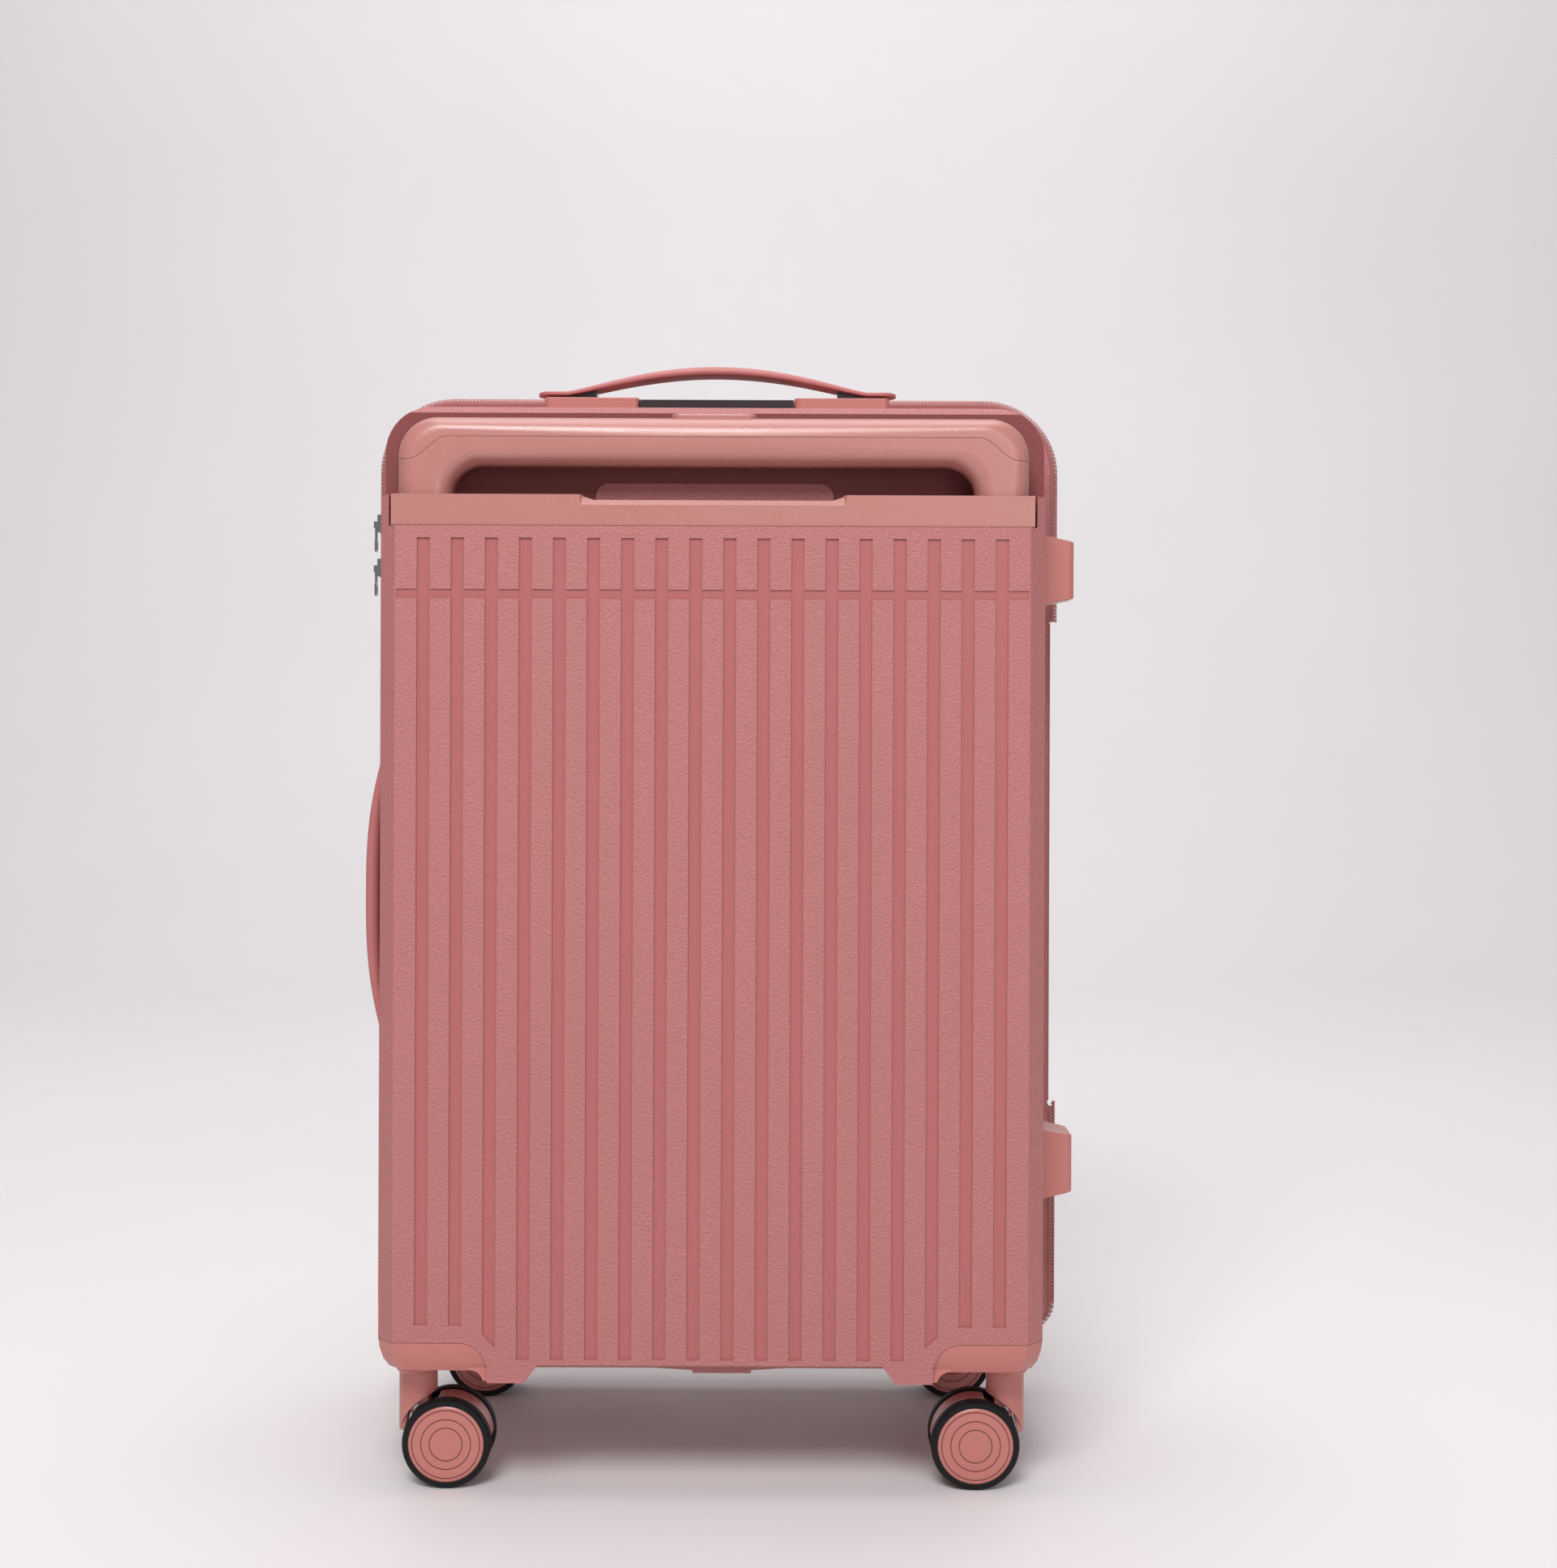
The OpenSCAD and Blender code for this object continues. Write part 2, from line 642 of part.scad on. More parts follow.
// ---- casters, drawn with the axle trailing towards +X ----
module disc(u, z, r, half) {
    translate([u, half, z]) rotate([90, 0, 0]) cylinder(r = r, h = 2 * half, $fn = 96);
}
module column() {
    translate([0, 0, 36]) cylinder(r = column_r, h = flange_z - 35, $fn = 96);
}
module fork() {
    color(SMOOTH_PINK) difference() {
        union() {
            translate([0, 0, flange_z]) cylinder(r1 = flange_r - 1.6, r2 = flange_r, h = 2, $fn = 96);
            translate([0, 0, flange_z + 2]) cylinder(r = flange_r, h = housing_low - flange_z - 2.4, $fn = 96);
            translate([0, 0, housing_low - 1]) cylinder(r = stem_r, h = stem_top - housing_low + 1, $fn = 64);
            difference() {
                column();
                disc(trail, wheel_r, wheel_r + tyre_clear, 30);
                disc(pivot_u, pivot_z, tongue_r + 0.8, cheek_in);
            }
            // outer blade, which reaches down between the wheels
            intersection() {
                column();
                along_y(-cheek_out, cheek_out) polygon([[-14, 62], [-12.9, 48], [-10.8, 40], [-10, 36],
                    [-8.6, 36], [-7, 42], [-5, 52], [-5, 62]]);
            }
            for (s = [0, 1]) mirror([0, s, 0]) along_y(cheek_in, cheek_out)
                polygon(concat(arc(pivot_u, pivot_z, 6, 180, 360), [[7.5, 66], [-6, 66], [-4.5, 56]]));
        }
        disc(pivot_u, pivot_z, pin_r + run_gap, 9);
    }
}
// Swing arm with its mudguard web, the wheels' axle and the pivot pin
module arm() {
    dir = atan2(pivot_z - wheel_r, pivot_u - trail);
    span = norm([pivot_u - trail, pivot_z - wheel_r]);
    guard_half = web_half - 0.3;
    link_half = web_half - 0.6;
    tongue_half = cheek_in - 0.3;
    head_in = cheek_out + 0.1;
    color(SMOOTH_PINK) difference() {
        union() {
            disc(trail, wheel_r, 9, web_half);
            along_y(-guard_half, guard_half) translate([trail, wheel_r]) polygon(concat(
                arc(0, 0, wheel_r - 0.8, 4, 104, 24), [[-3, 8], [3, 6]],
                arc(0, 0, wheel_r - 4.5, 58, 4, 12)));
            translate([trail, 0, wheel_r]) rotate([0, -dir, 0]) {
                box([4.5, -link_half, -6], [span - 9, link_half, 6]);
                box([12, -tongue_half, -4.5], [span, tongue_half, 4.5]);
            }
            disc(pivot_u, pivot_z, tongue_r, tongue_half);
        }
        disc(trail, wheel_r, axle_r + run_gap, 2 * web_half);
        disc(pivot_u, pivot_z, pin_r + run_gap, 2 * web_half);
    }
    color(STEEL) {
        disc(trail, wheel_r, axle_r, wheel_out - 1.8);
        translate([pivot_u, 0, pivot_z]) rotate([90, 0, 0]) rotate_extrude($fn = 96) polygon([
            [0, -head_in - pin_head_t], [pin_head_r, -head_in - pin_head_t], [pin_head_r, -head_in],
            [pin_r, -head_in], [pin_r, head_in], [pin_head_r, head_in],
            [pin_head_r, head_in + pin_head_t], [0, head_in + pin_head_t]]);
    }
}
module on_axle(side) {
    translate([trail, 0, wheel_r]) rotate([side > 0 ? -90 : 90, 0, 0]) children();
}
module tyre(side) {
    color(DARK) on_axle(side) rotate_extrude($fn = 128) polygon([
        [hub_r, wheel_in], [wheel_r - 1.2, wheel_in], [wheel_r, wheel_in + 1.4],
        [wheel_r, wheel_out - 2], [wheel_r - 1.1, wheel_out - 0.2], [hub_r, wheel_out - 0.2]]);
}
module hub(side) {
    cap_in = wheel_out - 3.4;
    boss_r = 6.5;
    rim_t = 3;
    color(SMOOTH_PINK) on_axle(side) difference() {
        rotate_extrude($fn = 128) polygon([[axle_r + run_gap, wheel_in], [boss_r, wheel_in], [boss_r, cap_in],
            [hub_r - rim_t, cap_in], [hub_r - rim_t, wheel_in], [hub_r, wheel_in], [hub_r, wheel_out - 0.6],
            [hub_r - 1, wheel_out], [0, wheel_out], [0, wheel_out - 1.4], [axle_r + run_gap, wheel_out - 1.4]]);
        for (r = ring_rs) translate([0, 0, wheel_out - ring_depth]) difference() {
            cylinder(r = r + ring_half_w, h = 1, $fn = 96);
            translate([0, 0, -1]) cylinder(r = r - ring_half_w, h = 3, $fn = 96);
        }
    }
}
module at_caster(c) {
    translate([c[1] * caster_x, c[2] * caster_y, 0]) mirror([c[1] > 0 ? 1 : 0, 0, 0]) children();
}

back_shell();
back_lining();
packing_straps();
trolley_bezel();
trolley_outer_tubes();
tube_brackets();
housings_back();
side_feet_back();
top_handle_pads();
top_handle_well();
side_handle_pads();
zip_back();
hinge_tape();
front_shell();
front_lining();
zip_front();
housings_front();
side_feet_front();
lock_body();
lock_button();
lock_dial(dial_zs[0]);  // lock_dial_1
lock_dial(dial_zs[1]);  // lock_dial_2
lock_dial(dial_zs[2]);  // lock_dial_3
trolley_mid_tubes();
trolley_inner_tubes();
grip_body();
grip_cap();
release_button();
release_rods();
top_handle();
top_handle_posts();
side_handle();
zip_slider(upper_slider_z);  // zip_slider_upper
zip_slider(lower_slider_z);  // zip_slider_lower
zip_pull(upper_slider_z);  // zip_pull_upper
zip_pull(lower_slider_z);  // zip_pull_lower
for (c = CASTERS) {
    at_caster(c) fork();
    at_caster(c) arm();
    at_caster(c) tyre(-1);
    at_caster(c) hub(-1);
    at_caster(c) tyre(1);
    at_caster(c) hub(1);
}
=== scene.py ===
"""The looks of a hard shell suitcase on wheels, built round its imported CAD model. Metres."""

import json
import math

import bmesh
import bpy
from mathutils import Matrix, Vector, noise

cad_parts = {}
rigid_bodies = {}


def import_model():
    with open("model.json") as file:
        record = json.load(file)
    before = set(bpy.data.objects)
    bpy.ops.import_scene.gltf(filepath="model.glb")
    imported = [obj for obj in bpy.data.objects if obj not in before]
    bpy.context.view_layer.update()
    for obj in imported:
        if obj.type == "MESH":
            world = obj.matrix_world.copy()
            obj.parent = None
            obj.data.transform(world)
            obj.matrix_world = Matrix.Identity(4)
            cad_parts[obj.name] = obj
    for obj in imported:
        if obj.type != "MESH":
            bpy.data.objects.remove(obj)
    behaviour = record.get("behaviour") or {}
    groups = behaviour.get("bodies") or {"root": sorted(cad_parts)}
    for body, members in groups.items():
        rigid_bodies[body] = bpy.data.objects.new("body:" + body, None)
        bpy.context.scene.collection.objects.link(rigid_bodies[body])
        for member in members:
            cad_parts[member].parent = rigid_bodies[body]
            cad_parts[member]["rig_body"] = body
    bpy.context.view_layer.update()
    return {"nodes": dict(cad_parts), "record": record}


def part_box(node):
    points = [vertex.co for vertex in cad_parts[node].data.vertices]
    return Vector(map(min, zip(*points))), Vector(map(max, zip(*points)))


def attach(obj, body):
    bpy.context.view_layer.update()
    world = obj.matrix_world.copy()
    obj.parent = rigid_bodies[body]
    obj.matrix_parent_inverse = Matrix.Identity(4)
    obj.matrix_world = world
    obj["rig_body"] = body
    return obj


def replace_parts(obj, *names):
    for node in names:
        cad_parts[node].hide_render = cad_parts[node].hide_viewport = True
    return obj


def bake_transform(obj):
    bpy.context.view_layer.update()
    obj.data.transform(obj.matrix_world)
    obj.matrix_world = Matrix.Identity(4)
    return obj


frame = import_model()

MM = 0.001
CORNERS = {"back_left": (-1, -1), "back_right": (1, -1), "front_left": (-1, 1), "front_right": (1, 1)}
# Edges sharper than this are rounded, and shaded as edges
EDGE_ANGLE = math.radians(28)
FLAT_ANGLE = math.radians(0.2)
# A face whose normal has this much of an axis faces along it
FACING = 0.9

face_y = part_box("back_shell")[0].y
grip_lo, grip_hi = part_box("grip_body")
cap_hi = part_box("grip_cap")[1]


# ---------------------------------------------------------------- materials
class Shader:
    """A short way to write a node tree that ends in one Principled shader."""

    def __init__(self, name):
        self.material = bpy.data.materials.new(name)
        self.material.use_nodes = True
        self.tree = self.material.node_tree
        self.bsdf = self.tree.nodes["Principled BSDF"]
        self.place = self.node("ShaderNodeTexCoord").outputs["Object"]

    def node(self, kind, **values):
        made = self.tree.nodes.new(kind)
        for key, value in values.items():
            setattr(made, key, value)
        return made

    def link(self, start, end):
        self.tree.links.new(start, end)

    def set(self, **values):
        for key, value in values.items():
            self.bsdf.inputs[key.replace("_", " ")].default_value = value

    def noise(self, scale, detail=2.0, rough=0.5, place=None):
        made = self.node("ShaderNodeTexNoise")
        made.inputs["Scale"].default_value = scale
        made.inputs["Detail"].default_value = detail
        made.inputs["Roughness"].default_value = rough
        self.link(place or self.place, made.inputs["Vector"])
        return made.outputs["Fac"]

    def stretched(self, factors):
        made = self.node("ShaderNodeMapping")
        made.inputs["Scale"].default_value = factors
        self.link(self.place, made.inputs["Vector"])
        return made.outputs["Vector"]

    def spread(self, value, low, high, start=0.3, end=0.7):
        made = self.node("ShaderNodeMapRange")
        for key, number in (("From Min", start), ("From Max", end), ("To Min", low), ("To Max", high)):
            made.inputs[key].default_value = number
        self.link(value, made.inputs["Value"])
        return made.outputs["Result"]

    def mix(self, factor, a, b):
        made = self.node("ShaderNodeMix", data_type="RGBA")
        self.link(factor, made.inputs["Factor"])
        for socket, colour in ((made.inputs["A"], a), (made.inputs["B"], b)):
            if isinstance(colour, tuple):
                socket.default_value = (*colour, 1)
            else:
                self.link(colour, socket)
        return made.outputs["Result"]

    def bump(self, height, depth, strength=1.0, under=None):
        made = self.node("ShaderNodeBump")
        made.inputs["Strength"].default_value = strength
        made.inputs["Distance"].default_value = depth
        self.link(height, made.inputs["Height"])
        if under is not None:
            self.link(under, made.inputs["Normal"])
        return made.outputs["Normal"]

    def wire(self, colour=None, rough=None, normal=None):
        for key, source in (("Base Color", colour), ("Roughness", rough), ("Normal", normal)):
            if source is not None:
                self.link(source, self.bsdf.inputs[key])
        return self.material


def tinted(colour, factor):
    return tuple(c * factor for c in colour)


def plastic(name, colour, rough, grain=0.0, grain_scale=900.0, spec=0.5, coat=0.0):
    """Moulded plastic: slow colour drift, faint smears in the gloss, and a sandy or an orange-peel surface."""
    s = Shader(name)
    s.set(Specular_IOR_Level=spec, Coat_Weight=coat, Coat_Roughness=0.25)
    drift = s.spread(s.noise(7, 3), 0, 1)
    fine = s.noise(grain_scale, 2.5, 0.6)
    speck = s.mix(s.spread(fine, 0, 1, 0.35, 0.65), tinted(colour, 0.95), tinted(colour, 1.04))
    base = s.mix(drift, speck, tinted(colour, 0.97))
    gloss = s.spread(s.noise(34, 5, 0.62), rough - 0.04, rough + 0.05)
    normal = s.bump(s.noise(160, 2), 0.00004, 0.6)
    if grain:
        normal = s.bump(s.spread(fine, 0, 1, 0.36, 0.64), grain, 1.0, normal)
    return s.wire(base, gloss, normal)


def metal(name, colour, rough, brushed=(1, 1, 1), scale=700.0):
    s = Shader(name)
    s.set(Metallic=1.0)
    lines = s.noise(scale, 3, 0.6, s.stretched(brushed))
    base = s.mix(s.spread(lines, 0, 1), colour, tinted(colour, 0.82))
    gloss = s.spread(s.noise(60, 4), rough - 0.04, rough + 0.06)
    return s.wire(base, gloss, s.bump(lines, 0.00002, 0.5))


def woven(name, colour, pitch, depth=0.00012, rough=0.85, sheen=0.3, axes="XZ"):
    """Plain weave: two crossed sets of rounded threads."""
    s = Shader(name)
    s.set(Sheen_Weight=sheen, Sheen_Roughness=0.5, Specular_IOR_Level=0.2)
    threads = []
    for axis in axes:
        wave = s.node("ShaderNodeTexWave", wave_type="BANDS", bands_direction=axis)
        wave.inputs["Scale"].default_value = 1 / (pitch * 3.2)
        wave.inputs["Distortion"].default_value = 0.6
        wave.inputs["Detail Scale"].default_value = 40
        s.link(s.place, wave.inputs["Vector"])
        threads.append(wave.outputs["Fac"])
    weave = s.node("ShaderNodeMath", operation="MULTIPLY")
    s.link(threads[0], weave.inputs[0])
    s.link(threads[1], weave.inputs[1])
    fuzz = s.noise(1500, 3)
    lit = s.mix(weave.outputs["Value"], tinted(colour, 0.72), tinted(colour, 1.08))
    base = s.mix(s.spread(s.noise(24, 4), 0, 0.5), lit, tinted(colour, 0.86))
    gloss = s.spread(fuzz, rough - 0.06, rough + 0.08)
    return s.wire(base, gloss, s.bump(weave.outputs["Value"], depth, 0.9, s.bump(fuzz, 0.00003, 0.5)))


def ringed(name, colour, rough, centre, radii, half_w):
    """Smooth plastic with thin dark lines of painted shade where circles are engraved round the axles, seen along Y.
    """
    s = Shader(name)
    s.set(Specular_IOR_Level=0.5)
    split = s.node("ShaderNodeSeparateXYZ")
    s.link(s.place, split.inputs["Vector"])

    def maths(operation, a, b=None):
        made = s.node("ShaderNodeMath", operation=operation)
        for socket, value in zip(made.inputs, (a, b)):
            if isinstance(value, (int, float)):
                socket.default_value = value
            elif value is not None:
                s.link(value, socket)
        return made.outputs["Value"]

    across = maths("SUBTRACT", maths("ABSOLUTE", split.outputs["X"]), centre[0])
    above = maths("SUBTRACT", split.outputs["Z"], centre[1])
    radius = maths("SQRT", maths("ADD", maths("MULTIPLY", across, across), maths("MULTIPLY", above, above)))
    nearest = None
    for r in radii:
        away = maths("ABSOLUTE", maths("SUBTRACT", radius, r))
        nearest = away if nearest is None else maths("MINIMUM", nearest, away)
    # Painted shade: the pink is darkened along the engraved circles
    line = s.spread(nearest, 1, 0, half_w * 0.6, half_w * 1.5)
    drift = s.mix(s.spread(s.noise(9, 3), 0, 1), colour, tinted(colour, 0.95))
    base = s.mix(line, drift, tinted(colour, 0.42))
    return s.wire(base, s.spread(s.noise(30, 4), rough - 0.04, rough + 0.05), s.bump(s.noise(160, 2), 0.00004, 0.6))


PINK = (0.438, 0.152, 0.147)
SMOOTH = (0.490, 0.166, 0.145)
SATIN = (0.430, 0.168, 0.145)
mat = {
    "shell_pink": plastic("shell_textured", PINK, 0.46, grain=0.00042, grain_scale=640, spec=0.55),
    "shell_groove": plastic("shell_groove", (0.395, 0.115, 0.112), 0.38, grain=0.00003, grain_scale=700, spec=0.45),
    "smooth_pink": plastic("pink_smooth_moulded", SMOOTH, 0.33, spec=0.5),
    "hub_pink": ringed("hub_ringed_painted_shade", SMOOTH, 0.34, (0.179, 0.030), (0.0229, 0.0168, 0.0111), 0.35 * MM),
    # Darker pink for the recess wall behind the grip: painted shade of the grip and the recess, on a shell of one
    # colour
    "recess_pink": plastic("shell_recess_painted_shade", (0.22, 0.060, 0.058), 0.55, grain=0.00012, grain_scale=700, spec=0.2),
    "satin_pink": plastic("pink_satin", SATIN, 0.29, grain=0.00004, grain_scale=1100, spec=0.75),
    "handle_pink": plastic("pink_soft_touch", (0.47, 0.150, 0.148), 0.44, spec=0.45),
    "dark_plastic": plastic("dark_moulded", (0.022, 0.016, 0.016), 0.5, grain=0.0001, spec=0.4),
    "gloss_dark": plastic("dark_gloss", (0.030, 0.017, 0.020), 0.16, spec=0.5, coat=0.4),
    "wheel_rubber": plastic("tyre_rubber", (0.006, 0.006, 0.007), 0.55, grain=0.00005, grain_scale=1300, spec=0.22),
    "tube_aluminium": metal("tube_anodised", (0.68, 0.68, 0.70), 0.30, brushed=(1, 1, 0.02)),
    "pin_steel": metal("steel_turned", (0.55, 0.55, 0.56), 0.28),
    "chrome_trim": metal("chrome_dark", (0.42, 0.42, 0.43), 0.12),
    "dial_metal": metal("dial_ring", (0.16, 0.155, 0.16), 0.32, brushed=(1, 1, 0.1)),
    "lining_fabric": woven("lining_weave", (0.20, 0.118, 0.120), 0.0011),
    "strap_webbing": woven("webbing_weave", (0.030, 0.020, 0.021), 0.0018, depth=0.0003),
    "coil_nylon": plastic("zip_coil", (0.44, 0.150, 0.145), 0.35, spec=0.5),
    "zip_tape": woven("zip_tape_weave", (0.42, 0.145, 0.140), 0.0008, depth=0.0001, rough=0.7, sheen=0.15, axes="YZ"),
}


# ---------------------------------------------------------------- mesh helpers
def body_of(node):
    return frame["nodes"][node]["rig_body"]


def slot_of(node):
    return next(s["material_slot"] for s in frame["record"]["subparts"] if s["node"] == node)


def shade_smooth(obj):
    for polygon in obj.data.polygons:
        polygon.use_smooth = True


def loose(name, bm):
    """A new object from a bmesh, which rides on nothing yet."""
    mesh = bpy.data.meshes.new(name)
    bm.to_mesh(mesh)
    bm.free()
    obj = bpy.data.objects.new(name, mesh)
    bpy.context.scene.collection.objects.link(obj)
    return obj


def loft(bm, rings):
    """Faces through rings of points, with one over each end, as a closed solid."""
    for low, high in zip(rings, rings[1:]):
        for i in range(len(low)):
            j = (i + 1) % len(low)
            bm.faces.new((low[i], low[j], high[j], high[i]))
    bm.faces.new(rings[0])
    bm.faces.new(rings[-1])


def cloth(bm, grid):
    """Faces through rows of points, as an open sheet."""
    for a, b in zip(grid, grid[1:]):
        for k in range(len(a) - 1):
            bm.faces.new((a[k], a[k + 1], b[k + 1], b[k]))
    bmesh.ops.recalc_face_normals(bm, faces=bm.faces)


def thicken(obj, thickness):
    solid = obj.modifiers.new("thickness", "SOLIDIFY")
    solid.thickness, solid.offset = thickness, 0


def add(name, bm, body, slot, material=None):
    obj = loose(name, bm)
    obj.data.materials.append(material or mat[slot])
    shade_smooth(obj)
    if body:
        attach(obj, body)
    return obj


def clean_bmesh(node):
    """The CAD node's mesh, with its triangles joined into flat faces."""
    source = frame["nodes"][node].data
    bm = bmesh.new()
    verts = [bm.verts.new(v.co) for v in source.vertices]
    for polygon in source.polygons:
        bm.faces.new([verts[i] for i in polygon.vertices])
    bmesh.ops.remove_doubles(bm, verts=bm.verts, dist=2e-6)
    bmesh.ops.dissolve_limit(bm, angle_limit=FLAT_ANGLE, verts=bm.verts, edges=bm.edges)
    bmesh.ops.recalc_face_normals(bm, faces=bm.faces)
    return bm


def soften(obj, width, segments=2, angle=EDGE_ANGLE):
    """Rounds the sharp edges, and shades the faces as moulded surfaces."""
    obj.data.set_sharp_from_angle(angle=angle)
    bevel = obj.modifiers.new("edges", "BEVEL")
    bevel.limit_method = "ANGLE"
    bevel.angle_limit = angle
    bevel.width = width
    bevel.segments = segments
    bevel.miter_outer = "MITER_ARC"
    bevel.harden_normals = False
    weighted = obj.modifiers.new("shading", "WEIGHTED_NORMAL")
    weighted.keep_sharp = True
    weighted.weight = 60
    return obj


def moulded(node, width, segments=2, name=None, material=None):
    """A CAD node with its edges rounded, which stands for that node."""
    obj = add(name or node + "_moulded", clean_bmesh(node), body_of(node), slot_of(node), material)
    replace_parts(obj, node)
    return soften(obj, width, segments)


def carried(node):
    """A CAD node that is shown as it is, with its own material."""
    obj = frame["nodes"][node]
    obj.data.materials.clear()
    obj.data.materials.append(mat[slot_of(node)])
    return obj


# ---------------------------------------------------------------- shells
RECESS_LOW, RECESS_WALL = 640 * MM, 105 * MM
# Faces this far behind the shell's face are the floors of its grooves
GROOVE_NEAR, GROOVE_FAR = 0.1 * MM, 1.7 * MM


def shell(node, sign):
    obj = moulded(node, 0.6 * MM, 2)
    obj.data.materials.append(mat["shell_groove"])
    obj.data.materials.append(mat["recess_pink"])
    for polygon in obj.data.polygons:
        depth = sign * polygon.center.y
        if GROOVE_NEAR < abs(face_y) - depth < GROOVE_FAR and abs(polygon.normal.y) > FACING:
            polygon.material_index = 1
        # The recess wall behind the grip takes the darker pink: painted shade
        low = min(obj.data.vertices[i].co.z for i in polygon.vertices)
        if sign < 0 and low > RECESS_LOW and polygon.normal.y < -FACING and abs(depth - RECESS_WALL) < 1 * MM:
            polygon.material_index = 2
    return obj


shell("back_shell", -1)
shell("front_shell", 1)

for part in ("housings_back", "housings_front", "side_feet_back", "side_feet_front"):
    moulded(part, 0.8 * MM, 3)
moulded("trolley_bezel", 0.7 * MM, 3)
moulded("top_handle_pads", 0.9 * MM, 3)
moulded("top_handle_well", 0.5 * MM, 2)
moulded("side_handle_pads", 0.35 * MM, 2)
moulded("top_handle_posts", 0.5 * MM, 2)
moulded("release_button", 1.1 * MM, 3)
moulded("lock_body", 0.6 * MM, 2)
moulded("lock_button", 0.4 * MM, 2)
moulded("tube_brackets", 0.6 * MM, 2)
for part in ("zip_slider_upper", "zip_slider_lower", "zip_pull_upper", "zip_pull_lower"):
    moulded(part, 0.35 * MM, 2)
for part in ("trolley_outer_tubes", "trolley_mid_tubes", "trolley_inner_tubes", "release_rods",
             "lock_dial_1", "lock_dial_2", "lock_dial_3"):
    carried(part)

# Swivel axis, then the pivot and the axle as distances from it, with their heights
CASTER_X, CASTER_Y = 200.5 * MM, 100 * MM
PIVOT_U, PIVOT_Z, AXLE_U, AXLE_Z = 1.5 * MM, 50.5 * MM, 21.5 * MM, 30 * MM
PIN_HEAD_V, PIN_HEAD_R, AXLE_R = 7.55 * MM, 3.8 * MM, 3.02 * MM


def caster(corner):
    sx, sy = CORNERS[corner]
    moulded("fork_" + corner, 0.5 * MM, 2)
    arm = moulded("arm_" + corner, 0.4 * MM, 2)
    arm.data.materials.append(mat["pin_steel"])
    arm.data.materials.append(mat["chrome_trim"])
    for polygon in arm.data.polygons:
        centre = polygon.center
        u, v = CASTER_X - sx * centre.x, abs(centre.y - sy * CASTER_Y)
        if v > PIN_HEAD_V and math.hypot(u - PIVOT_U, centre.z - PIVOT_Z) < PIN_HEAD_R:
            polygon.material_index = 2
        elif math.hypot(u - AXLE_U, centre.z - AXLE_Z) < AXLE_R:
            polygon.material_index = 1
    for wheel in "ab":
        carried(f"tyre_{wheel}_{corner}")
        hub = carried(f"hub_{wheel}_{corner}")
        hub.data.materials.clear()
        hub.data.materials.append(mat["hub_pink"])


for corner in CORNERS:
    caster(corner)


# ---------------------------------------------------------------- trolley grip
def arc(cx, cz, radius, start, end, steps):
    """Points of an arc, with angles in degrees, as (x, z) pairs."""
    turn = [math.radians(start + (end - start) * i / steps) for i in range(steps + 1)]
    return [(cx + radius * math.cos(t), cz + radius * math.sin(t)) for t in turn]


GRIP_OUTER_R, GRIP_INNER_R = 26 * MM, 20 * MM
GRIP_GAP_HALF_W, GRIP_GAP_TOP = 175 * MM, 690 * MM
GRIP_ROUND = 13.5 * MM
PART_DROP, PART_TURN_IN, PART_TURN_OUT = 15 * MM, 178 * MM, 203 * MM
PART_GAP, PART_BELOW_TOP = 0.12 * MM, 14 * MM
# The cutting solids reach past the grip on every side
CUT_HALF_W, CUT_STEPS, CUT_LOW, CUT_HIGH, CUT_PAST = 250 * MM, 160, 400 * MM, 1000 * MM, 10 * MM
PILL_GAP, PILL_REACH = 0.4 * MM, 9 * MM


def grip_stations():
    """Pairs of an outer and an inner point, from the foot of one leg to the foot of the other."""
    ox, oz = grip_hi.x - GRIP_OUTER_R, cap_hi.z - GRIP_OUTER_R
    ix, iz = GRIP_GAP_HALF_W - GRIP_INNER_R, GRIP_GAP_TOP - GRIP_INNER_R
    foot = grip_lo.z
    leg = [((-grip_hi.x, z), (-GRIP_GAP_HALF_W, z)) for z in (foot, foot + 6 * MM, iz - 5 * MM)]
    bend = list(zip(arc(-ox, oz, GRIP_OUTER_R, 180, 90, 20), arc(-ix, iz, GRIP_INNER_R, 180, 90, 20)))
    bar = [((-ox + 2 * ox * i / 24, cap_hi.z), (-ix + 2 * ix * i / 24, GRIP_GAP_TOP)) for i in range(1, 24)]
    half = leg + bend
    mirrored = [((-o[0], o[1]), (-i[0], i[1])) for o, i in reversed(half)]
    return half + bar + mirrored


def grip_bmesh():
    """The whole grip as one closed loft, with soft edges."""
    front, back = grip_lo.y, grip_hi.y
    bm = bmesh.new()
    rings = []
    for (ox, oz), (ix, iz) in grip_stations():
        outer, inner = Vector((ox, 0, oz)), Vector((ix, 0, iz))
        across = (inner - outer).normalized()
        width, r = (inner - outer).length, GRIP_ROUND
        ring = []
        corners = ((r, front + r, 180), (width - r, front + r, 270), (width - r, back - r, 0), (r, back - r, 90))
        for cu, cv, start in corners:
            for u, v in arc(cu, cv, r, start, start + 90, 8):
                ring.append(bm.verts.new(outer + across * u + Vector((0, v, 0))))
        rings.append(ring)
    loft(bm, rings)
    bmesh.ops.recalc_face_normals(bm, faces=bm.faces)
    return bm


def part_z(x):
    t = min(max((abs(x) - PART_TURN_IN) / (PART_TURN_OUT - PART_TURN_IN), 0), 1)
    return cap_hi.z - PART_BELOW_TOP - PART_DROP * t * t * (3 - 2 * t)


